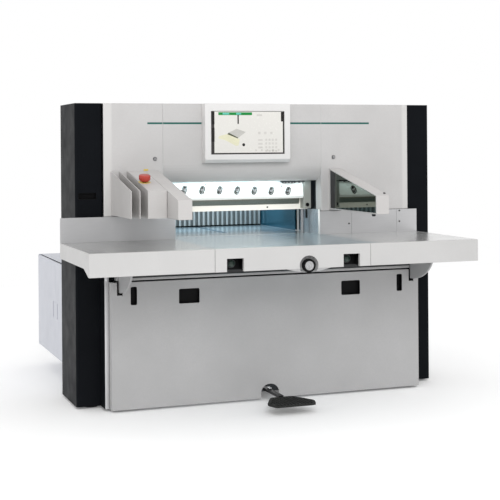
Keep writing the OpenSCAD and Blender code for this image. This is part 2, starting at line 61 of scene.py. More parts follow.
# Faces that the small fittings sit on, in millimetres from those landmarks
TABLE_TOP = 900
PANEL_FACE = -20
GUARD_FACE = -25.8
REAR_FACE = 388.8
TOP_FACE = 1646.8
FASCIA_FACE = -722
SCREEN_FACE = -79.0
# The arms' tops fall this much per millimetre forward
ARM_FALL = 0.22
# The knife bar's face leans back 16 mm over its lower 98 mm
BAR_FOOT_Y, BAR_FOOT_Z = 85, 1119
BAR_LEAN = 16 / 98


def at(x, y, z):
    """A point given in millimetres from the machine's middle, the columns' front and the floor."""
    return Vector((MID_X + x * MM, FRONT_Y + y * MM, z * MM))


# ---------------------------------------------------------------- finishes


def blank(name):
    """A new material with an empty shader, ready to be linked."""
    material = bpy.data.materials.new(name)
    material.use_nodes = True
    tree = material.node_tree
    tree.nodes.clear()
    output = tree.nodes.new("ShaderNodeOutputMaterial")
    shader = tree.nodes.new("ShaderNodeBsdfPrincipled")
    tree.links.new(shader.outputs["BSDF"], output.inputs["Surface"])
    return material, tree, shader


def mottle(tree, scale, detail=2.0, stretch=(1, 1, 1)):
    """Noise that stays put on the piece, stretched along an axis where asked."""
    place = tree.nodes.new("ShaderNodeTexCoord")
    turn = tree.nodes.new("ShaderNodeMapping")
    turn.inputs["Scale"].default_value = stretch
    noise = tree.nodes.new("ShaderNodeTexNoise")
    noise.inputs["Scale"].default_value = scale
    noise.inputs["Detail"].default_value = detail
    tree.links.new(place.outputs["Object"], turn.inputs["Vector"])
    tree.links.new(turn.outputs["Vector"], noise.inputs["Vector"])
    return noise.outputs["Fac"]


def spread(tree, value, low, high, start=0.3, end=0.7):
    """Maps a value from start..end to low..high."""
    node = tree.nodes.new("ShaderNodeMapRange")
    node.inputs["From Min"].default_value = start
    node.inputs["From Max"].default_value = end
    node.inputs["To Min"].default_value = low
    node.inputs["To Max"].default_value = high
    tree.links.new(value, node.inputs["Value"])
    return node.outputs["Result"]


def mixed(tree, amount, first, second):
    """Blends two colours, each a plain colour or another node's output."""
    node = tree.nodes.new("ShaderNodeMix")
    node.data_type = "RGBA"
    tree.links.new(amount, node.inputs["Factor"])
    for socket, colour in ((node.inputs["A"], first), (node.inputs["B"], second)):
        if isinstance(colour, (tuple, list)):
            socket.default_value = (*colour[:3], 1)
        else:
            tree.links.new(colour, socket)
    return node.outputs["Result"]


def product(tree, first, second):
    """Multiplies two values."""
    node = tree.nodes.new("ShaderNodeMath")
    node.operation = "MULTIPLY"
    tree.links.new(first, node.inputs[0])
    tree.links.new(second, node.inputs[1])
    return node.outputs["Value"]


def edge_wear(tree, radius):
    """1 on sharp outer edges, 0 on flat ground, broken up by noise."""
    soft = tree.nodes.new("ShaderNodeBevel")
    soft.samples = 4
    soft.inputs["Radius"].default_value = radius
    ground = tree.nodes.new("ShaderNodeNewGeometry")
    dot = tree.nodes.new("ShaderNodeVectorMath")
    dot.operation = "DOT_PRODUCT"
    tree.links.new(soft.outputs["Normal"], dot.inputs[0])
    tree.links.new(ground.outputs["Normal"], dot.inputs[1])
    edge = spread(tree, dot.outputs["Value"], 1.0, 0.0, 0.80, 0.99)
    return product(tree, edge, spread(tree, mottle(tree, 60, 3), 0.3, 1.0))


def tint(colour, factor):
    """A colour made lighter or darker."""
    return tuple(min(1.0, c * factor) for c in colour[:3])


def finish(name, colour, rough, metal=0.0, drift=0.05, smear=0.06, grain=500.0, height=0.00004,
           stretch=(1, 1, 1), wear=0.35, worn=None, wear_radius=0.0025, coat=0.0, specular=0.5,
           recolour=None):
    """A surface with drifting colour, smeared gloss, a fine grain and rubbed edges."""
    material, tree, shader = blank(name)
    base = mixed(tree, spread(tree, mottle(tree, 3.5, 3), 0, 1), tint(colour, 1 - drift),
                 tint(colour, 1 + drift))
    speck = spread(tree, mottle(tree, grain * 0.35, 2, stretch), 0.0, 0.35)
    base = mixed(tree, speck, base, tint(colour, 1 - 2 * drift))
    if recolour:
        base = recolour(tree, base)
    if wear:
        worn = worn or tint(colour, 1.35)
        mask = tree.nodes.new("ShaderNodeMath")
        mask.operation = "MULTIPLY"
        mask.inputs[1].default_value = wear
        tree.links.new(edge_wear(tree, wear_radius), mask.inputs[0])
        base = mixed(tree, mask.outputs["Value"], base, worn)
    tree.links.new(base, shader.inputs["Base Color"])
    gloss = spread(tree, mottle(tree, 11, 4, stretch), max(0.02, rough - smear), rough + smear)
    tree.links.new(gloss, shader.inputs["Roughness"])
    bump = tree.nodes.new("ShaderNodeBump")
    bump.inputs["Distance"].default_value = height
    bump.inputs["Strength"].default_value = 1.0
    tree.links.new(mottle(tree, grain, 3, stretch), bump.inputs["Height"])
    tree.links.new(bump.outputs["Normal"], shader.inputs["Normal"])
    shader.inputs["Metallic"].default_value = metal
    shader.inputs["Specular IOR Level"].default_value = specular
    shader.inputs["Coat Weight"].default_value = coat
    shader.inputs["Coat Roughness"].default_value = 0.12
    return material


def paint(name, colour, rough=0.42, **more):
    """Powder coat: a slight orange peel, a little lighter where the edges are rubbed."""
    return finish(name, colour, rough, grain=more.pop("grain", 420.0),
                  height=more.pop("height", 0.00006), **more)


def brushed(name, colour, rough=0.3, along=(1, 60, 60), **more):
    """Metal with a lay of fine lines."""
    return finish(name, colour, rough, metal=more.pop("metal", 1.0), grain=more.pop("grain", 30.0),
                  height=more.pop("height", 0.00003), stretch=along, drift=more.pop("drift", 0.06), **more)


def lit(name, colour, power, drift=0.1, scale=20.0):
    """A surface that gives light, a little uneven as a real diffuser is."""
    material, tree, shader = blank(name)
    tone = mixed(tree, spread(tree, mottle(tree, scale, 2), 0, 1), tint(colour, 1 - drift), colour)
    tree.links.new(tone, shader.inputs["Emission Color"])
    shader.inputs["Emission Strength"].default_value = power
    tree.links.new(tone, shader.inputs["Base Color"])
    tree.links.new(spread(tree, mottle(tree, 90, 2), 0.15, 0.3), shader.inputs["Roughness"])
    bump = tree.nodes.new("ShaderNodeBump")
    bump.inputs["Distance"].default_value = 0.00002
    tree.links.new(mottle(tree, 700, 2), bump.inputs["Height"])
    tree.links.new(bump.outputs["Normal"], shader.inputs["Normal"])
    return material


def along(tree, axis, start, end):
    """0 to 1 between two places on an axis, given in millimetres as at() takes them."""
    place = tree.nodes.new("ShaderNodeTexCoord")
    axes = tree.nodes.new("ShaderNodeSeparateXYZ")
    tree.links.new(place.outputs["Object"], axes.inputs["Vector"])
    lo, hi = (getattr(at(v, v, v), axis.lower()) for v in (start, end))
    return spread(tree, axes.outputs[axis], 0.0, 1.0, lo, hi)


def comb_recess_painted_shade(tree, base):
    """The ground fronts of the ribs keep the metal's colour; deeper in, the recesses between the ribs are
    painted dark, a painted shade.
    """
    front = FRONT_OF_COMB
    # painted shade: dark colour from 1 mm to 12 mm behind the rib fronts
    return mixed(tree, along(tree, "Y", front + 1, front + 12), base, (0.195, 0.215, 0.220))


def bed_tones_and_painted_cold_light(tree, base):
    """The middle table is painted a little bluer, a painted tint of cold light on the polished steel."""
    inner = along(tree, "X", -540, -500)
    outer = along(tree, "X", 420, 340)
    base = mixed(tree, outer, (0.72, 0.72, 0.715), base)
    # painted light: a cold blue tint on the middle table
    return mixed(tree, product(tree, inner, outer), base, (0.48, 0.57, 0.61))


def clamp_recess_painted_shade(tree, base):
    """The clamp's lip is white; its recess is painted dark, a painted shade under the knife bar: olive, and
    grey-green at the guide blocks at the ends.
    """
    inside = product(tree, along(tree, "Y", 139, 138), along(tree, "Z", 1043, 1048))
    # painted shade in the recess behind the lip
    recess = mixed(tree, along(tree, "X", 293, 297), (0.165, 0.160, 0.120), (0.26, 0.27, 0.25))
    return mixed(tree, inside, base, recess)


def rear_colours(tree, base):
    """The upright side walls of the rear table are dark blue."""
    return mixed(tree, along(tree, "Z", 900.5, 902), base, (0.035, 0.175, 0.270))


def beam_painted_shade(tree, base):
    """The beam between the two gussets is painted near-black, a painted shade where it lies in the dark under
    the table.
    """
    inside = product(tree, along(tree, "X", -863, -861), along(tree, "X", 863, 861))
    # painted shade: near-black between the gussets
    return mixed(tree, inside, base, (0.030, 0.031, 0.033))


def panel_bend_highlight(tree, base):
    """The upper panels are painted a little lighter where they bend back beside the columns, a painted
    highlight on the bends.
    """
    left = along(tree, "X", -868, -880)
    right = along(tree, "X", 880, 892)
    edge = tree.nodes.new("ShaderNodeMath")
    edge.operation = "MAXIMUM"
    tree.links.new(left, edge.inputs[0])
    tree.links.new(right, edge.inputs[1])
    # painted highlight along the bends beside the columns
    return mixed(tree, edge.outputs["Value"], base, (0.63, 0.62, 0.61))


FINISHES = {
    "dark_paint": paint("charcoal_powder_coat", (0.0075, 0.0085, 0.0105), 0.42,
                        worn=(0.05, 0.05, 0.06), drift=0.12, specular=0.03),
    "panel_grey": paint("warm_grey_powder_coat", (0.560, 0.550, 0.545), 0.45, recolour=panel_bend_highlight),
    "fascia_white": paint("white_powder_coat", (0.535, 0.53, 0.525), 0.38, drift=0.03,
                          worn=(0.75, 0.75, 0.75)),
    "cover_grey": paint("mid_grey_powder_coat", (0.43, 0.428, 0.430), 0.45),
    "cabinet_grey": paint("cool_grey_powder_coat", (0.56, 0.575, 0.63), 0.42),
    "frame_grey": paint("machine_grey_enamel", (0.10, 0.11, 0.12), 0.5, height=0.00015, grain=160.0),
    "machine_blue": paint("machine_blue_enamel", (0.045, 0.085, 0.13), 0.42, height=0.00015, grain=160.0),
    "polished_table": finish("ground_and_polished_table", (0.58, 0.58, 0.575), 0.25, metal=0.7,
                             drift=0.03, smear=0.02, grain=260.0, height=0.000006, wear=0.3,
                             worn=(0.9, 0.9, 0.9), recolour=bed_tones_and_painted_cold_light),
    "stainless": brushed("brushed_stainless", (0.71, 0.71, 0.72), 0.36, metal=0.8, smear=0.05),
    "knife_white": paint("gloss_white_enamel", (0.86, 0.88, 0.86), 0.30, drift=0.02, coat=0.3,
                         worn=(0.6, 0.6, 0.6)),
    "knife_steel": brushed("ground_knife_steel", (0.34, 0.34, 0.29), 0.32, along=(60, 60, 1)),
    "steel": brushed("turned_steel", (0.50, 0.50, 0.51), 0.28, along=(60, 2, 60)),
    "dark_steel": finish("blackened_steel", (0.045, 0.045, 0.048), 0.42, metal=0.85, drift=0.15,
                         worn=(0.35, 0.35, 0.36)),
    "gauge_alu": brushed("machined_aluminium", (0.66, 0.68, 0.69), 0.30, along=(60, 60, 2)),
    "bronze": brushed("machined_bronze", (0.60, 0.40, 0.17), 0.35, along=(40, 2, 40)),
    "black_plastic": finish("black_moulding", (0.0035, 0.0035, 0.004), 0.5, drift=0.2,
                            worn=(0.03, 0.03, 0.03), grain=700.0, height=0.00008, specular=0.12),
    "arm_white": paint("light_grey_powder_coat", (0.545, 0.530, 0.520), 0.42),
    "dark_glass": finish("smoked_mirror_pane", (0.105, 0.120, 0.100), 0.035, metal=1.0, drift=0.04,
                         smear=0.01, wear=0.2, grain=90.0, height=0.000004, worn=(0.3, 0.33, 0.3)),
    "screen_glass": finish("screen_surround_glass", (0.030, 0.026, 0.026), 0.12, drift=0.1, wear=0.15,
                           coat=0.6, grain=900.0, height=0.000006),
    "estop_red": finish("red_moulding", (0.47, 0.042, 0.026), 0.32, drift=0.08, coat=0.3,
                        worn=(0.7, 0.2, 0.15)),
    "stick_grey": finish("pale_cutting_stick", (0.42, 0.45, 0.46), 0.5, drift=0.12, grain=60.0,
                         stretch=(1, 8, 8)),
    "button_green": finish("dark_green_moulding", (0.010, 0.028, 0.020), 0.3, drift=0.08, coat=0.2),
    "belt_rubber": finish("drive_belt_rubber", (0.018, 0.018, 0.019), 0.7, drift=0.2, grain=300.0,
                          height=0.0002),
    "foot_rubber": finish("foot_rubber_black", (0.016, 0.016, 0.017), 0.72, drift=0.2, grain=250.0,
                          height=0.0002),
    "light_lens": lit("cold_light_lens", (0.62, 0.90, 1.0), 3.0),
}
# Painted highlight: the comb's rubbed-edge colour, a near-white blue at strength 0.6, stands in for light
# catching the rib edges.
COMB = brushed("comb_aluminium", (0.55, 0.58, 0.59), 0.34, metal=0.5, along=(60, 60, 2),
               recolour=comb_recess_painted_shade, wear=0.6, worn=(0.9, 0.97, 1.0), wear_radius=0.002)
# Painted light: the rear table's light blue colour stands in for the cold glow on its steel.
REAR_TABLE_PAINTED_GLOW = finish("rear_table_steel_painted_glow", (0.46, 0.62, 0.72), 0.22, metal=0.6, drift=0.03, smear=0.02,
                    grain=260.0, height=0.000006, wear=0.2, worn=(0.5, 0.6, 0.65),
                    recolour=rear_colours)
CLAMP_FACE = paint("clamp_lip_enamel", (0.90, 0.88, 0.82), 0.35, drift=0.03, recolour=clamp_recess_painted_shade)
EDGE_HIGHLIGHT_WHITE = paint("edge_highlight_enamel", (0.88, 0.88, 0.86), 0.35, drift=0.03)
HOUSING = paint("display_housing_paint", (0.75, 0.74, 0.73), 0.42, drift=0.03)
SIDE_PLATE = brushed("side_gauge_steel", (0.58, 0.65, 0.70), 0.30, metal=0.7, along=(60, 60, 1))
UNDER_TABLE = paint("under_table_grey", (0.37, 0.37, 0.375), 0.45, recolour=beam_painted_shade)
PEDAL_GREY = paint("pedal_grey_casting", (0.022, 0.023, 0.022), 0.6, height=0.00015, grain=160.0,
                   specular=0.2)
WALL_BLUE = finish("polished_blue_wall", (0.16, 0.36, 0.47), 0.10, metal=0.95, drift=0.04, smear=0.02,
                   grain=120.0, height=0.000004, wear=0.2, worn=(0.4, 0.6, 0.7))
SILL_GREY = paint("sill_grey_enamel", (0.40, 0.40, 0.40), 0.42)
BRIGHT_STEEL = finish("polished_chrome", (0.78, 0.78, 0.79), 0.14, metal=1.0, drift=0.03, smear=0.03,
                      grain=300.0, height=0.00001, wear=0.2)
TEAL = paint("teal_stripe_paint", (0.006, 0.115, 0.095), 0.4, drift=0.08, wear=0.1)
YELLOW = finish("yellow_moulding", (0.70, 0.52, 0.10), 0.4, drift=0.06)
PAGE = lit("screen_page_light", (0.69, 0.675, 0.64), 0.12, drift=0.03, scale=6)
BAR_GREEN = lit("screen_green", (0.008, 0.20, 0.040), 0.35)
BAR_CYAN = lit("screen_cyan", (0.10, 0.42, 0.34), 0.4)
KEY_GREY = lit("screen_key_grey", (0.60, 0.58, 0.55), 0.12)
INK = lit("screen_ink", (0.012, 0.010, 0.010), 0.02)
DRAWN_BOARD = lit("screen_drawn_board", (0.70, 0.68, 0.50), 0.15)
DRAWN_SHADE = lit("screen_drawn_shade", (0.075, 0.085, 0.050), 0.1)
DRAWN_BLOCK = lit("screen_drawn_block", (0.50, 0.49, 0.46), 0.15)


def dress(node, material):
    """Gives a CAD node its finish."""
    for held in NODES[node].material_slots:
        held.material = material


SLOT_OF = {row["node"]: row["material_slot"] for row in frame["record"]["subparts"]}
for node_name, slot_name in SLOT_OF.items():
    dress(node_name, FINISHES[slot_name])
dress("back_gauge", COMB)
dress("rear_table", REAR_TABLE_PAINTED_GLOW)
dress("clamp_beam", CLAMP_FACE)
dress("display_housing", HOUSING)
dress("side_gauge", SIDE_PLATE)
dress("table_supports", UNDER_TABLE)

# ---------------------------------------------------------------- making pieces


def round_edges(bm, edges, width, steps):
    """Rounds edges by a width in millimetres."""
    bmesh.ops.bevel(bm, geom=edges, offset=width * MM, offset_type="OFFSET", segments=steps, profile=0.5,
                    affect="EDGES", material=-1, clamp_overlap=True)


def grow(bm, faces, shift):
    """Extrudes faces by a shift in millimetres."""
    grown = bmesh.ops.extrude_face_region(bm, geom=faces)["geom"]
    moved = [part for part in grown if isinstance(part, bmesh.types.BMVert)]
    bmesh.ops.translate(bm, vec=Vector(shift) * MM, verts=moved)


def add_block(bm, x, y, z, edge=0.8, steps=2):
    """A block given by its three spans in millimetres, with rounded edges."""
    lo, hi = at(x[0], y[0], z[0]), at(x[1], y[1], z[1])
    made = bmesh.ops.create_cube(bm, size=1.0)["verts"]
    bmesh.ops.scale(bm, vec=hi - lo, verts=made)
    bmesh.ops.translate(bm, vec=(lo + hi) / 2, verts=made)
    if edge:
        round_edges(bm, list({e for v in made for e in v.link_edges}), edge, steps)


def add_plate(bm, outline, y0, y1):
    """A flat plate facing the operator, from an outline in X and Z and its two depths."""
    face = bm.faces.new([bm.verts.new(at(x, y0, z)) for x, z in outline])
    grow(bm, [face], (0, y1 - y0, 0))


def turned(profile, steps=32):
    """A mesh turned about Z from (radius, height) pairs in millimetres that start and end on the axis."""
    bm = bmesh.new()
    verts = [bm.verts.new((r * MM, 0, h * MM)) for r, h in profile]
    edges = [bm.edges.new(pair) for pair in zip(verts, verts[1:])]
    bmesh.ops.spin(bm, geom=verts + edges, cent=(0, 0, 0), axis=(0, 0, 1), angle=2 * math.pi, steps=steps,
                   use_merge=True)
    bmesh.ops.remove_doubles(bm, verts=bm.verts, dist=1e-6)
    bmesh.ops.recalc_face_normals(bm, faces=bm.faces)
    mesh = bpy.data.meshes.new("turned")
    bm.to_mesh(mesh)
    bm.free()
    return mesh


def stamp(bm, mesh, place, turn=None):
    """Adds a copy of a mesh at a place, turned so that its Z points the right way."""
    copy = mesh.copy()
    copy.transform(Matrix.Translation(place) @ (turn or Matrix.Identity(4)))
    bm.from_mesh(copy)
    bpy.data.meshes.remove(copy)


TO_OPERATOR = Matrix.Rotation(math.radians(90), 4, "X")
TO_REAR = Matrix.Rotation(math.radians(-90), 4, "X")


def piece(name, bm, material, body, smooth=True):
    """Finishes a mesh as a named piece that rides on a body."""
    bmesh.ops.recalc_face_normals(bm, faces=bm.faces)
    mesh = bpy.data.meshes.new(name)
    bm.to_mesh(mesh)
    bm.free()
    if smooth:
        mesh.shade_smooth()
        mesh.set_sharp_from_angle(angle=math.radians(35))
    made = bpy.data.objects.new(name, mesh)
    bpy.context.scene.collection.objects.link(made)
    mesh.materials.append(material)
    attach(made, body)
    return made


def screw_profile(r, h, socket=0.5):
    """A round head with a socket."""
    floor, inner = h * 0.45, r * socket
    return [(0, floor), (inner, floor), (inner, h), (r * 0.82, h), (r, h * 0.75), (r, 0), (0, 0)]


# ---------------------------------------------------------------- softened edges on the sheet metal


def soften(node, width):
    """Rounds a CAD node's sharp edges with modifiers; its mesh stays as it is."""
    body = NODES[node]
    weld = body.modifiers.new("weld", "WELD")
    weld.merge_threshold = 0.00001
    flat = body.modifiers.new("flat", "DECIMATE")
    flat.decimate_type = "DISSOLVE"
    flat.angle_limit = math.radians(1.0)
    bevel = body.modifiers.new("bevel", "BEVEL")
    bevel.width = width * MM
    bevel.segments = 2
    bevel.limit_method = "ANGLE"
    bevel.angle_limit = math.radians(40)
    bevel.use_clamp_overlap = True
    bevel.harden_normals = True


SOFT_EDGES = {
    "side_upper_panels": 1.2, "display_housing": 5.0, "light_arms": 4.0, "estop_box": 4.0, "rack_fins": 1.0,
    "side_fascias": 2.5, "clamp_beam": 1.0, "electrical_cabinet": 1.0, "pedal_arm": 2.5, "gearbox": 4.0,
    "hydraulic_unit": 4.0, "spindle_motor": 3.0, "rear_table_frame": 2.0, "side_gauge": 0.6, "guards": 0.6,
    "front_tables": 1.0, "rear_table": 1.0,
}
for node_name, width in SOFT_EDGES.items():
    soften(node_name, width)

# ---------------------------------------------------------------- screen


def screen_keys(keys, left, low, high, front):
    """Unlabelled keys: a keypad of four by four, wider keys beside it and a row along the foot."""
    for row in range(4):
        for column in range(4):
            x, z = left + 318 + column * 20, high - 165 - row * 21
            add_block(keys, (x, x + 12), front, (z, z + 12), 0.1, 1)
    for row in range(3):
        x, z = left + 276, high - 165 - row * 21
        add_block(keys, (x, x + 26), front, (z, z + 10), 0.1, 1)
    for column in range(3):
        x = left + 276 + column * 36
        add_block(keys, (x, x + 14), front, (high - 128, high - 114), 0.1, 1)
    for column in range(5):
        x = left + 258 + column * 34
        add_block(keys, (x, x + 10), front, (low + 16, low + 26), 0.1, 1)


def screen_drawing(x0, z0, y):
    """A drawing of the table: a board, the dark side of a pile on it and the pile's top."""
    board, shade, block = bmesh.new(), bmesh.new(), bmesh.new()
    add_plate(board, [(x0, z0 + 44), (x0 + 8, z0 + 56), (x0 + 60, z0 + 68), (x0 + 128, z0 + 38),
                      (x0 + 122, z0 + 4), (x0 + 108, z0), (x0 + 44, z0 + 32)], y - 0.5, y - 0.25)
    add_plate(shade, [(x0 + 55, z0 + 66), (x0 + 62, z0 + 74), (x0 + 120, z0 + 52), (x0 + 116, z0 + 42)],
              y - 0.7, y - 0.45)
    add_plate(block, [(x0 + 62, z0 + 74), (x0 + 110, z0 + 96), (x0 + 164, z0 + 78), (x0 + 120, z0 + 46)],
              y - 0.85, y - 0.65)
    piece("screen_drawn_board", board, DRAWN_BOARD, "machine", smooth=False)
    piece("screen_drawn_shade", shade, DRAWN_SHADE, "machine", smooth=False)
    piece("screen_drawn_pile", block, DRAWN_BLOCK, "machine", smooth=False)


def screen_picture():
    """A plain working page: a status bar, dark scale marks, a keypad and a drawing of the table."""
    y = SCREEN_FACE
    left, right, low, high = -323.0, 111.0, 1368.0, 1606.0
    page = bmesh.new()
    add_block(page, (left + 17, right - 9), (y - 0.3, y + 0.2), (low + 7, high - 1), 0.1, 1)
    piece("screen_page", page, PAGE, "machine")
    tiles = {"green": bmesh.new(), "cyan": bmesh.new(), "key": bmesh.new(), "ink": bmesh.new()}
    front, raised = (y - 0.6, y - 0.25), (y - 0.75, y - 0.55)
    add_block(tiles["green"], (left + 41, left + 240), front, (high - 21, high - 5), 0.15, 1)
    for x0, x1 in ((left + 66, left + 104), (left + 146, left + 175)):
        add_block(tiles["cyan"], (x0, x1), raised, (high - 18, high - 8), 0.1, 1)
    add_block(tiles["ink"], (left + 153, left + 161), front, (high - 70, high - 20), 0.1, 1)
    dot = turned([(0, 0), (8.5, 0), (8.5, -0.35), (0, -0.35)], 24)
    stamp(tiles["ink"], dot, at(left + 189, y - 0.6, low + 52), TO_REAR)
    for z0, z1 in ((high - 72, high - 2), (high - 168, high - 92)):
        add_block(tiles["ink"], (left + 1, left + 18), front, (z0, z1), 0.1, 1)
    add_block(tiles["ink"], (right - 20, right - 1), front, (high - 56, high - 2), 0.1, 1)
    add_block(tiles["key"], (left + 268, left + 300), front, (high - 26, high - 16), 0.1, 1)
    screen_keys(tiles["key"], left, low, high, front)
    for key, material in (("green", BAR_GREEN), ("cyan", BAR_CYAN), ("key", KEY_GREY), ("ink", INK)):
        piece("screen_" + key, tiles[key], material, "machine", smooth=False)
    screen_drawing(left + 38, low + 45, y)


screen_picture()

# ---------------------------------------------------------------- upper front


def stripes():
    """Teal stripes on the upper panels, up to the display's sides."""
    bm = bmesh.new()
    for x in ((-673, -587), (-584, -361), (149, 361.5), (364, 669)):
        add_block(bm, x, (PANEL_FACE - 0.7, PANEL_FACE + 0.2), (1536, 1546), 0.2, 1)
    piece("upper_stripes", bm, TEAL, "machine", smooth=False)


def lock_roses():
    """Thin dark rings round the two panel locks."""
    rose = turned([(9.4, 0), (11.4, 0), (11.4, 1.0), (10.8, 1.8), (9.9, 1.8), (9.4, 1.2), (9.4, 0)], 40)
    bm = bmesh.new()
    for lock in ("left_panel_lock", "right_panel_lock"):
        low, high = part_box(lock)
        middle = (low + high) / 2
        stamp(bm, rose, Vector((middle.x, at(0, PANEL_FACE, 0).y, middle.z)), TO_OPERATOR)
    piece("lock_roses", bm, FINISHES["dark_steel"], "machine")


def guard_screws():
    """Small screws in the right guards."""
    bm = bmesh.new()
    head = turned(screw_profile(5.0, 2.4), 24)
    for x, z in ((534, 958), (862, 1025), (862, 962)):
        stamp(bm, head, at(x, GUARD_FACE, z), TO_OPERATOR)
    piece("guard_screws", bm, FINISHES["dark_steel"], "machine")


def slope_z(reach):
    """Height of the arms' sloping top at a distance in front of the columns."""
    return ARM_TOP - ARM_FALL * (reach + PANEL_FACE)


ON_SLOPE = Matrix.Rotation(math.atan(ARM_FALL), 4, "X")


def stop_button():
    """A red mushroom, a thin yellow ring round its stem and a yellow tag on the panel behind it."""
    reach = 270
    foot = at(-760, -reach, slope_z(reach))
    yellow = bmesh.new()
    ring = turned([(12, 0.1), (33, 0.1), (33, 0.5), (32.4, 0.8), (12, 0.8), (12, 0.1)], 48)
    stamp(yellow, ring, foot, ON_SLOPE)
    add_block(yellow, (-696, -670), (PANEL_FACE - 0.9, PANEL_FACE + 0.1), (ARM_TOP, ARM_TOP + 9), 0.3)
    piece("stop_ring_and_tag", yellow, YELLOW, "machine")
    cap = bmesh.new()
    head = turned([(0, 7), (22, 7), (24.5, 8), (26, 12), (29.5, 14), (30.8, 17), (30.8, 33), (29.2, 37.5),
                   (25.5, 39.6), (16, 39.9), (0, 39.9)], 48)
    stamp(cap, head, foot, ON_SLOPE)
    made = piece("stop_mushroom", cap, FINISHES["estop_red"], "estop_head")
    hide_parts("estop_head")


def arm_fittings():
    """The right arm's screw and the knob under it, and a dark frame at the back of each pane."""
    bm = bmesh.new()
    head = turned(screw_profile(7.0, 5.0), 24)
    stamp(bm, head, at(476, -600, slope_z(600) - 0.3), ON_SLOPE)
    under = turned([(0, 0.2), (11, 0.2), (11, -9), (8, -13), (0, -13)], 24)
    stamp(bm, under, at(425, -575, ARM_BOTTOM))
    piece("arm_screws", bm, FINISHES["dark_steel"], "machine")
    sill = ARM_BOTTOM + 8
    frame_bm = bmesh.new()
    for x in (410.3, -614.2):
        outline = [(-41, sill), (-41, slope_z(41) - 9), (-112, slope_z(112) - 9), (-96, sill)]
        face = frame_bm.faces.new([frame_bm.verts.new(at(x, y, z)) for y, z in outline])
        grow(frame_bm, [face], (0.9, 0, 0))
    piece("pane_frames", frame_bm, FINISHES["dark_steel"], "machine", smooth=False)


stripes()
lock_roses()
guard_screws()
stop_button()
arm_fittings()

# ---------------------------------------------------------------- knife and clamp


def bar_face_y(z):
    """Depth of the knife bar's leaning face at a height."""
    return BAR_FOOT_Y + BAR_LEAN * (z - BAR_FOOT_Z)


def slot_rim(outer, inner, half_length, depth):
    """An upright rim with round ends, facing the operator."""
    ring = bmesh.new()
    loops = []
    for radius in (outer, inner):
        turns = [(side, math.radians(start + step * 22.5)) for side, start in ((1, 0), (-1, 180))
                 for step in range(9)]
        loops.append([ring.verts.new((radius * math.cos(a) * MM, -1.4 * MM,
                                      (radius * math.sin(a) + half_length * side) * MM))
                      for side, a in turns])
    edges = [ring.edges.new((loop[k], loop[(k + 1) % len(loop)])) for loop in loops for k in range(len(loop))]
    grow(ring, bmesh.ops.bridge_loops(ring, edges=edges)["faces"], (0, depth, 0))
    mesh = bpy.data.meshes.new("slot_rim")
    ring.to_mesh(mesh)
    ring.free()
    return mesh


def slot_rims():
    """Dark rims round the slanted bolt slots, and the bright bolt heads in them."""
    rims, heads = bmesh.new(), bmesh.new()
    head = turned(screw_profile(8.2, 8.0, 0.55), 24)
    rim = slot_rim(15, 10.5, 10, 2.0)
    slant = Matrix.Rotation(-math.atan(BAR_LEAN), 4, "X") @ Matrix.Rotation(math.radians(22), 4, "Y")
    for i in range(7):
        x = -114 + (i - 3) * 105
        z = 1168 - 3 * i
        stamp(rims, rim, at(x, bar_face_y(z), z), slant)
        stamp(heads, head, at(x, 96, z + 1), TO_OPERATOR)
    piece("knife_slot_rims", rims, FINISHES["black_plastic"], "knife", smooth=False)
    piece("knife_bolt_heads", heads, BRIGHT_STEEL, "knife")


def bar_screws():
    """Three small screws in the knife bar's face."""
    bm = bmesh.new()
    small = turned(screw_profile(4.0, 2.5), 20)
    for x, z in ((-505, 1188), (160, 1178), (-300, 1196)):
        stamp(bm, small, at(x, bar_face_y(z), z), TO_OPERATOR)
    piece("knife_bar_screws", bm, FINISHES["dark_steel"], "knife")


def clamp_screws():
    """A screw in each of the clamp's end blocks, and small ones in its lip."""
    bm = bmesh.new()
    block_face, lip_face = 85.2, 141.2
    big = turned(screw_profile(11.0, 5.0, 0.6), 32)
    # the knife passes 1 mm in front of the small heads, so they are nearly flush
    small = turned(screw_profile(5.0, 0.8), 24)
    for x, z in ((319, 1068), (-616, 1068)):
        stamp(bm, big, at(x, block_face, z), TO_OPERATOR)
    for x in (90, -520):
        stamp(bm, small, at(x, lip_face, 1056), TO_OPERATOR)
    piece("clamp_screws", bm, FINISHES["black_plastic"], "clamp")


def lip_fittings():
    """Small guide blocks behind the work light, at the right."""
    bm = bmesh.new()
    add_block(bm, (150, 300), (78.2, 83.5), (1202, 1222), 0.8)
    for x in (158, 176, 196, 216, 232, 262):
        add_block(bm, (x, x + 9), (74, 83.8), (1197, 1206), 0.6)
    piece("lip_guide_blocks", bm, FINISHES["dark_steel"], "machine")


slot_rims()
bar_screws()
clamp_screws()
lip_fittings()

# ---------------------------------------------------------------- tables


def air_nozzles():
    """Rows of small air nozzles set in the front tables."""
    ring = turned([(0, -0.4), (1.6, -0.4), (2.2, 0.12), (4.4, 0.12), (4.8, -0.2), (0, -0.8)], 12)
    bm = bmesh.new()
    for row in range(5):
        for column in range(16):
            x = -1060 + column * 128 + (row % 2) * 64
            if abs(x + 523) > 12 and abs(x - 333) > 12 and x < 960:
                stamp(bm, ring, at(x, -650 + row * 140, TABLE_TOP))
    piece("air_nozzles", bm, FINISHES["steel"], "machine")


def fascia_seams():
    """The dark joints between the three fascias, and between the tables."""
    bm = bmesh.new()
    for x in (-523, 333):
        add_block(bm, (x - 0.7, x + 0.7), (FASCIA_FACE - 0.15, -702), (785, TABLE_TOP - 0.2), 0, 1)
        add_block(bm, (x - 0.5, x + 0.5), (-702, -24), (895, TABLE_TOP + 0.1), 0, 1)
    piece("table_seams", bm, FINISHES["dark_steel"], "machine", smooth=False)


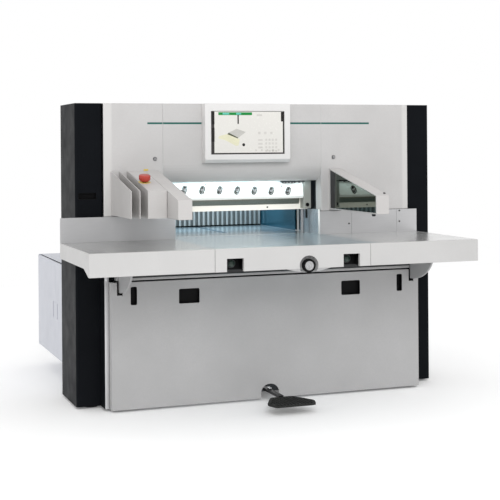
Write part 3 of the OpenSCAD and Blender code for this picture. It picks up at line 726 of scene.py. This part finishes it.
def wheel_face():
    """The bright face of the hand wheel, with turned rings, and grip ribs round its rim."""
    x, z, rim = -16, 798, 34
    bm = bmesh.new()
    disc = turned([(0, 0), (24.6, 0), (24.6, 4.6), (23.6, 5.6), (19, 5.6), (18.2, 4.8), (13.2, 4.8),
                   (12.4, 5.6), (7, 5.6), (6.2, 4.8), (0, 4.8)], 48)
    stamp(bm, disc, at(x, FASCIA_FACE, z), TO_OPERATOR)
    piece("wheel_disc", bm, BRIGHT_STEEL, "handwheel")
    grip = bmesh.new()
    rib = turned([(0, 0), (1.6, 0), (1.6, 15), (0, 16)], 8)
    for i in range(36):
        a = 2 * math.pi * i / 36
        stamp(grip, rib, at(x + rim * math.cos(a), -708.5, z + rim * math.sin(a)), TO_OPERATOR)
    piece("wheel_grip_ribs", grip, FINISHES["black_plastic"], "handwheel")


def button_caps():
    """A domed cap on each cut button, and a collar round it."""
    cap = turned([(0, 0), (15.5, 0), (15.5, 2.5), (13, 4.6), (7, 5.6), (0, 5.8)], 36)
    collar = turned([(18.6, 0), (23.5, 0), (23.5, 2), (22.5, 3), (19.4, 3), (18.6, 2.2), (18.6, 0)], 36)
    rings = bmesh.new()
    for x, side in ((-415.5, "left"), (225, "right")):
        bm = bmesh.new()
        stamp(bm, cap, at(x, -660, 820), TO_OPERATOR)
        piece(side + "_button_cap", bm, FINISHES["button_green"], side + "_button")
        stamp(rings, collar, at(x, -652, 820), TO_OPERATOR)
    piece("button_collars", rings, FINISHES["dark_steel"], "machine")


def side_gauge_trims():
    """White strips on the side gauge's upright edges, a painted highlight of the lit edges, and two black
    patches in its face, a painted shade standing for two dark slots.
    """
    strips, slots = bmesh.new(), bmesh.new()
    # painted highlight: white strips on the lit upright edges
    add_block(strips, (348.6, 354), (293, 317.0), (900.5, 1033.5), 0.8)
    add_block(strips, (348.6, 354), (-22.8, -2), (900.5, 1045), 0.8)
    # painted shade: black patches for the slots' openings
    add_block(slots, (348.8, 349.9), (253, 286), (908, 1034), 0.3, 1)
    add_block(slots, (348.8, 349.9), (158, 186), (985, 1037), 0.3, 1)
    piece("side_gauge_highlight_strips", strips, EDGE_HIGHLIGHT_WHITE, "machine")
    piece("side_gauge_slot_shade", slots, FINISHES["black_plastic"], "machine")


air_nozzles()
fascia_seams()
side_gauge_trims()
wheel_face()
button_caps()

# ---------------------------------------------------------------- lower front


def under_table():
    """A black sheet behind the joint above the lower cover, a painted shade that closes the view through the
    gap, and a grey sill rail over it.
    """
    gap_shade, rail = bmesh.new(), bmesh.new()
    # painted shade: a black sheet where the gap shows only shade
    add_block(gap_shade, (-860, 860), (-130, -126), (640, 700), 0.5, 1)
    add_block(rail, (-858, 858), (-158, -150.2), (699, 713), 3.0, 3)
    piece("joint_gap_shade_sheet", gap_shade, FINISHES["black_plastic"], "machine")
    piece("sill_rail", rail, SILL_GREY, "machine")


def comb_foot_shadow_strip():
    """A black strip along the foot of the comb, a painted shadow line where the comb stands on the rear
    table.
    """
    low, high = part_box("back_gauge")
    bm = bmesh.new()
    left, right = ((v - MID_X) / MM for v in (low.x, high.x))
    depth = (FRONT_OF_COMB - 1.2, FRONT_OF_COMB + 0.5)
    # painted shadow line at the comb's foot
    add_block(bm, (left + 1, right - 1), depth, (TABLE_TOP + 1.2, TABLE_TOP + 9), 0.4, 1)
    piece("comb_foot_shadow_strip", bm, FINISHES["black_plastic"], "gauge")


def wall_liners():
    """Thin polished sheets on the inner faces of the rear table's side walls."""
    low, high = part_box("rear_table")
    left, right = ((v - MID_X) / MM for v in (low.x, high.x))
    bm = bmesh.new()
    for x in ((left + 4.1, left + 4.7), (right - 4.7, right - 4.1)):
        add_block(bm, x, (331, 1289), (902, 1038), 0.15, 1)
    piece("rear_wall_liners", bm, WALL_BLUE, "machine")


def post_strips():
    """Light trims beside the lower cover, on the dark posts."""
    bm = bmesh.new()
    for x in ((915, 938), (-938, -915)):
        add_block(bm, x, (-104, -99.5), (13, 740), 1.5, 3)
        add_block(bm, (x[0] + 3, x[1] - 3), (-107, -103.5), (696, 722), 1.0)
    piece("post_trims", bm, FINISHES["stainless"], "machine")


def cover_slot_shade_fills():
    """Black blocks along the foot and the right side of each of the lower cover's two slots, a painted shade
    on the slots' inner walls.
    """
    bm = bmesh.new()
    # painted shade on the slots' inner walls
    for x in ((853.3, 882.7), (-882.7, -853.3)):
        add_block(bm, x, (-154.6, -146), (616, 630), 1.2)
    for x in ((879.5, 883.2), (-857, -853.2)):
        add_block(bm, x, (-155.2, -146), (618, 688), 0.6)
    piece("cover_slot_shade_fills", bm, FINISHES["black_plastic"], "machine")


def pedal():
    """The cast foot plate: a rounded outline, a raised rim and rows of grip studs."""
    bm = bmesh.new()
    c, front, middle, back = -28, -570, -495, -355
    outline = [(c - 112, front), (c + 112, front), (c + 135, middle), (c + 65, back), (c - 65, back),
               (c - 135, middle)]
    grow(bm, [bm.faces.new([bm.verts.new(at(x, y, 46)) for x, y in outline])], (0, 0, 12))
    bmesh.ops.recalc_face_normals(bm, faces=bm.faces)
    upright = [e for e in bm.edges if abs(e.verts[0].co.z - e.verts[1].co.z) > 5 * MM]
    round_edges(bm, upright, 18, 6)
    top = max(bm.faces, key=lambda f: f.calc_center_median().z)
    bmesh.ops.inset_individual(bm, faces=[top], thickness=7 * MM, depth=-2.5 * MM)
    sharp = [e for e in bm.edges if len(e.link_faces) == 2 and e.calc_face_angle(0) > math.radians(50)]
    round_edges(bm, sharp, 1.6, 3)
    stud = turned([(0, 0), (5.2, 0), (4.6, 3.2), (3.4, 4.2), (0, 4.2)], 12)
    for row in range(10):
        y = front + 20 + row * 18
        half_width = 112 + 23 * (y - front) / (middle - front) if y < middle else 135 - (y - middle) / 2
        half = int((half_width - 18) / 19)
        for column in range(-half, half + 1):
            stamp(bm, stud, at(c + column * 19, y, 55.2))
    made = piece("pedal_tread", bm, PEDAL_GREY, "pedal")
    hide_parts("pedal_plate")
    bolts = bmesh.new()
    head = turned(screw_profile(7.4, 6.0), 24)
    for y in (-168, -190):
        stamp(bolts, head, at(-29, y, 70.5))
    piece("pedal_bolts", bolts, BRIGHT_STEEL, "pedal")


under_table()
comb_foot_shadow_strip()
wall_liners()
post_strips()
cover_slot_shade_fills()
pedal()

# ---------------------------------------------------------------- rear and top


def louvres():
    """Pressed louvres in the rear covers."""
    bm = bmesh.new()
    for x0 in (-860, 560):
        for row in range(9):
            z = 240 + row * 30
            made = bmesh.ops.create_cube(bm, size=1.0)["verts"]
            bmesh.ops.scale(bm, vec=Vector((220, 5, 12)) * MM, verts=made)
            bmesh.ops.rotate(bm, cent=(0, 0, 0), matrix=Matrix.Rotation(math.radians(24), 3, "X"), verts=made)
            bmesh.ops.translate(bm, vec=at(x0 + 110, 390.2, z), verts=made)
    piece("rear_louvres", bm, FINISHES["panel_grey"], "machine", smooth=False)


def cover_screws():
    """Screws along the rear covers and the top cover."""
    bm = bmesh.new()
    head = turned(screw_profile(6.0, 2.6), 20)
    for x in (-900, -600, 400, 900):
        for z in (90, 560, 1030):
            stamp(bm, head, at(x, REAR_FACE, z), TO_REAR)
    for x in (-900, -450, 0, 450, 900):
        for z in (1090, 1600):
            stamp(bm, head, at(x, REAR_FACE, z), TO_REAR)
        for y in (10, 360):
            stamp(bm, head, at(x, y, TOP_FACE))
    piece("cover_screws", bm, FINISHES["dark_steel"], "machine")


def spindle_thread():
    """The gauge spindle with its thread, turned by a rising spin of the tooth form."""
    bm = bmesh.new()
    x, z = -100, 800
    lead, turns, start = 20.0, 45, 366.0
    root, crest = 13.4, 15.6
    form = ((root, 0), (root, 6.0), (crest, 7.5), (crest, 12.5), (root, 14.0), (root, lead))
    tooth = [bm.verts.new((r * MM, 0, h * MM)) for r, h in form]
    edges = [bm.edges.new(pair) for pair in zip(tooth, tooth[1:])]
    bmesh.ops.spin(bm, geom=tooth + edges, cent=(0, 0, 0), axis=(0, 0, 1), dvec=(0, 0, lead * MM / 16),
                   angle=2 * math.pi * turns, steps=16 * turns, use_merge=False)
    bmesh.ops.remove_doubles(bm, verts=bm.verts, dist=1e-5)
    mesh = bpy.data.meshes.new("thread")
    bm.to_mesh(mesh)
    bm.free()
    made = bmesh.new()
    stamp(made, mesh, at(x, start, z), TO_REAR)
    ends = turned([(0, 0), (14.5, 0), (15.8, 1.2), (15.8, 32), (0, 32)], 32)
    for y in (336.2, 1266.5):
        stamp(made, ends, at(x, y, z), TO_REAR)
    bmesh.ops.recalc_face_normals(made, faces=made.faces)
    thread = piece("spindle_thread", made, FINISHES["steel"], "spindle")
    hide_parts("spindle")


def motor_fins():
    """Cooling ribs round the spindle motor."""
    bm = bmesh.new()
    for i in range(9):
        y = 1310 + i * 8
        add_block(bm, (-157, -43), (y, y + 3), (743.5, 856.5), 0.5, 1)
    piece("spindle_motor_ribs", bm, FINISHES["black_plastic"], "machine", smooth=False)


louvres()
cover_screws()
spindle_thread()
motor_fins()

# ---------------------------------------------------------------- floor, lights and camera


def floor():
    """A plain pale floor."""
    material, tree, shader = blank("pale_floor")
    tone = mixed(tree, spread(tree, mottle(tree, 0.6, 2), 0, 1), (0.92, 0.92, 0.92), (0.95, 0.95, 0.95))
    tree.links.new(tone, shader.inputs["Base Color"])
    tree.links.new(tone, shader.inputs["Emission Color"])
    shader.inputs["Emission Strength"].default_value = 0.14
    shader.inputs["Roughness"].default_value = 0.9
    mesh = bpy.data.meshes.new("floor")
    bm = bmesh.new()
    bmesh.ops.create_grid(bm, x_segments=1, y_segments=1, size=5.5)
    bm.to_mesh(mesh)
    bm.free()
    ground = bpy.data.objects.new("floor", mesh)
    mesh.materials.append(material)
    bpy.context.scene.collection.objects.link(ground)
    ground.location.z = -0.0006


def lamp(name, place, target, size, power, colour=(1, 1, 1), depth=None):
    """A soft area light at a place, aimed at a target."""
    light = bpy.data.lights.new(name, "AREA")
    light.energy = power
    light.color = colour
    light.size = size
    if depth:
        light.shape = "RECTANGLE"
        light.size_y = depth
    made = bpy.data.objects.new(name, light)
    made.visible_glossy = False
    made.location = place
    made.rotation_mode = "QUATERNION"
    made.rotation_quaternion = (Vector(target) - Vector(place)).to_track_quat("-Z", "Y")
    bpy.context.scene.collection.objects.link(made)
    return made


def studio():
    """A white surround that is dimmer low in front, as a dark studio behind the lens is."""
    world = bpy.data.worlds.new("pale_studio")
    world.use_nodes = True
    tree = world.node_tree
    back = tree.nodes["Background"]
    back.inputs["Color"].default_value = (1.0, 1.0, 1.0, 1)
    place = tree.nodes.new("ShaderNodeTexCoord")
    facing = tree.nodes.new("ShaderNodeVectorMath")
    facing.operation = "DOT_PRODUCT"
    facing.inputs[1].default_value = (0.33, -0.94, -0.05)
    tree.links.new(place.outputs["Generated"], facing.inputs[0])
    glow = spread(tree, facing.outputs["Value"], 0.95, 0.55, 0.70, 0.97)
    path = tree.nodes.new("ShaderNodeLightPath")
    seen = tree.nodes.new("ShaderNodeMath")
    seen.operation = "MAXIMUM"
    tree.links.new(path.outputs["Is Camera Ray"], seen.inputs[0])
    tree.links.new(glow, seen.inputs[1])
    tree.links.new(seen.outputs["Value"], back.inputs["Strength"])
    bpy.context.scene.world = world
    lamp("key_light", at(-1200, -5200, 3400), at(0, 0, 900), 2.6, 110)
    lamp("comb_strip", at(-100, 560, 1150), at(-100, 900, 950), 0.9, 2.6, (0.74, 0.93, 1.0), depth=0.08)
    lamp("lip_strip", at(-100, 66, 1205), at(-100, 90, 900), 0.8, 0.55, (0.80, 0.95, 1.0), depth=0.02)
    lamp("lip_fill", at(-100, -60, 1000), at(-100, 141, 1052), 0.8, 0.5, (1.0, 0.96, 0.90), depth=0.02)


def set_camera():
    """The eye stands in front and to the left, level, with a slight roll."""
    data = bpy.data.cameras.new("camera")
    eye = bpy.data.objects.new("camera", data)
    bpy.context.scene.collection.objects.link(eye)
    yaw, roll = math.radians(20.3), math.radians(0.4)
    forward = Vector((math.sin(yaw), math.cos(yaw), 0))
    right = Vector((math.cos(yaw), -math.sin(yaw), 0))
    up = Vector((0, 0, 1))
    right, up = math.cos(roll) * right - math.sin(roll) * up, math.sin(roll) * right + math.cos(roll) * up
    turn = Matrix((right, up, -forward)).transposed()
    eye.rotation_mode = "QUATERNION"
    eye.rotation_quaternion = turn.to_quaternion()
    eye.location = at(-2425.5, -6375.4, 1410.8)
    data.sensor_width = 36.0
    data.lens = 86.36
    data.shift_y = -0.2074
    data.clip_end = 200
    bpy.context.scene.camera = eye


floor()
studio()
set_camera()
bpy.context.scene.view_settings.view_transform = "Standard"

bpy.context.view_layer.update()
